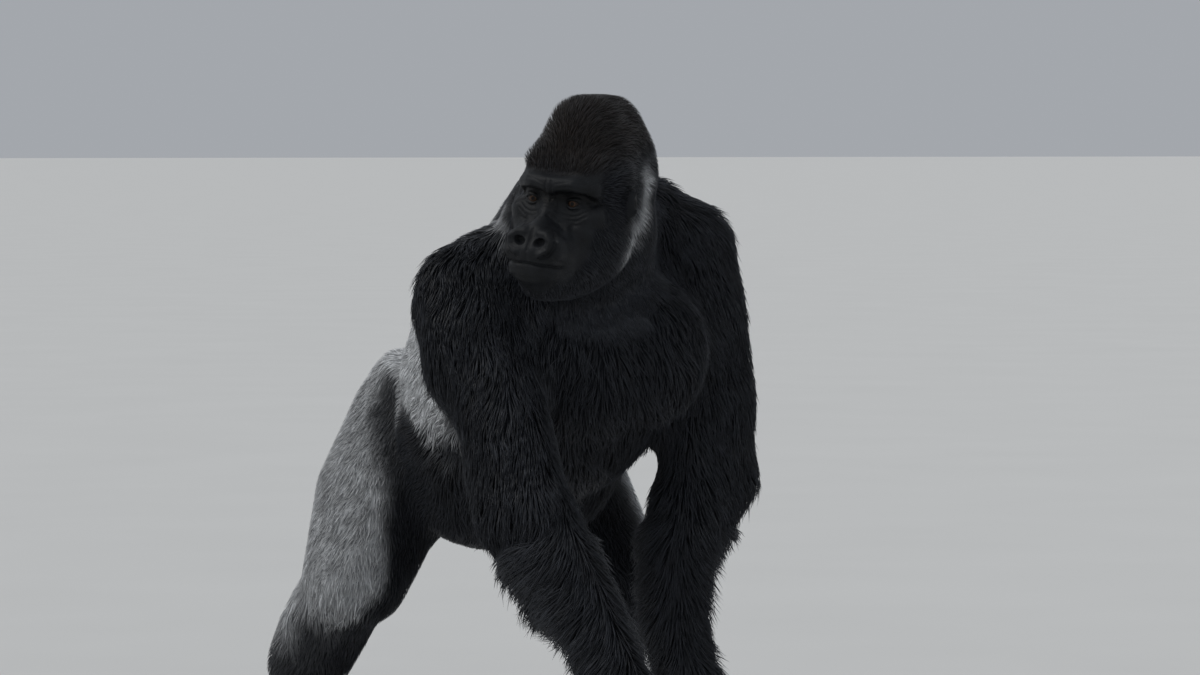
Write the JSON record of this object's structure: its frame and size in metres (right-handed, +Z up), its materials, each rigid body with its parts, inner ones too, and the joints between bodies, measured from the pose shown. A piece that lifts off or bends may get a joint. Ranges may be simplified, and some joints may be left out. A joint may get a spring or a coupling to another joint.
{
  "type": "gorilla",
  "caption": "Silverback gorilla walking on its knuckles, head turned to its right, with shaggy dark arms, a silver-grey back and thighs, and a bare dark face.",
  "frame": {"origin": "on the floor, at the middle of the animal's bounding box seen from above", "axes": "+Z up, the trunk faces -Y, and the animal's left side is towards +X"},
  "size_m": [0.8336, 1.2503, 1.2569],
  "materials": {
    "black_coat": "long black hair with a slight blue sheen",
    "silver_coat": "short silver-grey hair, darker towards belly, knee and shin",
    "brown_coat": "short dark brown hair on the crown, bare dark face",
    "bare_skin": "bare creased dark slate skin with a soft sheen",
    "toenail_horn": "dark smooth nail",
    "eye_brown": "wet amber-brown eye with a dark pupil"
  },
  "bodies": {
    "root": {"abdomen": "silver_coat", "chest": "black_coat", "head": "brown_coat", "left_ear": "bare_skin", "left_eye": "eye_brown", "left_foot": "bare_skin", "left_forearm": "black_coat", "left_hand": "bare_skin", "left_shin": "black_coat", "left_thigh": "silver_coat", "left_toenail_1": "toenail_horn", "left_toenail_2": "toenail_horn", "left_toenail_3": "toenail_horn", "left_toenail_4": "toenail_horn", "left_toenail_5": "toenail_horn", "left_upper_arm": "black_coat", "neck": "black_coat", "right_ear": "bare_skin", "right_eye": "eye_brown", "right_foot": "bare_skin", "right_forearm": "black_coat", "right_hand": "bare_skin", "right_shin": "black_coat", "right_thigh": "silver_coat", "right_toenail_1": "toenail_horn", "right_toenail_2": "toenail_horn", "right_toenail_3": "toenail_horn", "right_toenail_4": "toenail_horn", "right_toenail_5": "toenail_horn", "right_upper_arm": "black_coat"}
  },
  "joints": []
}
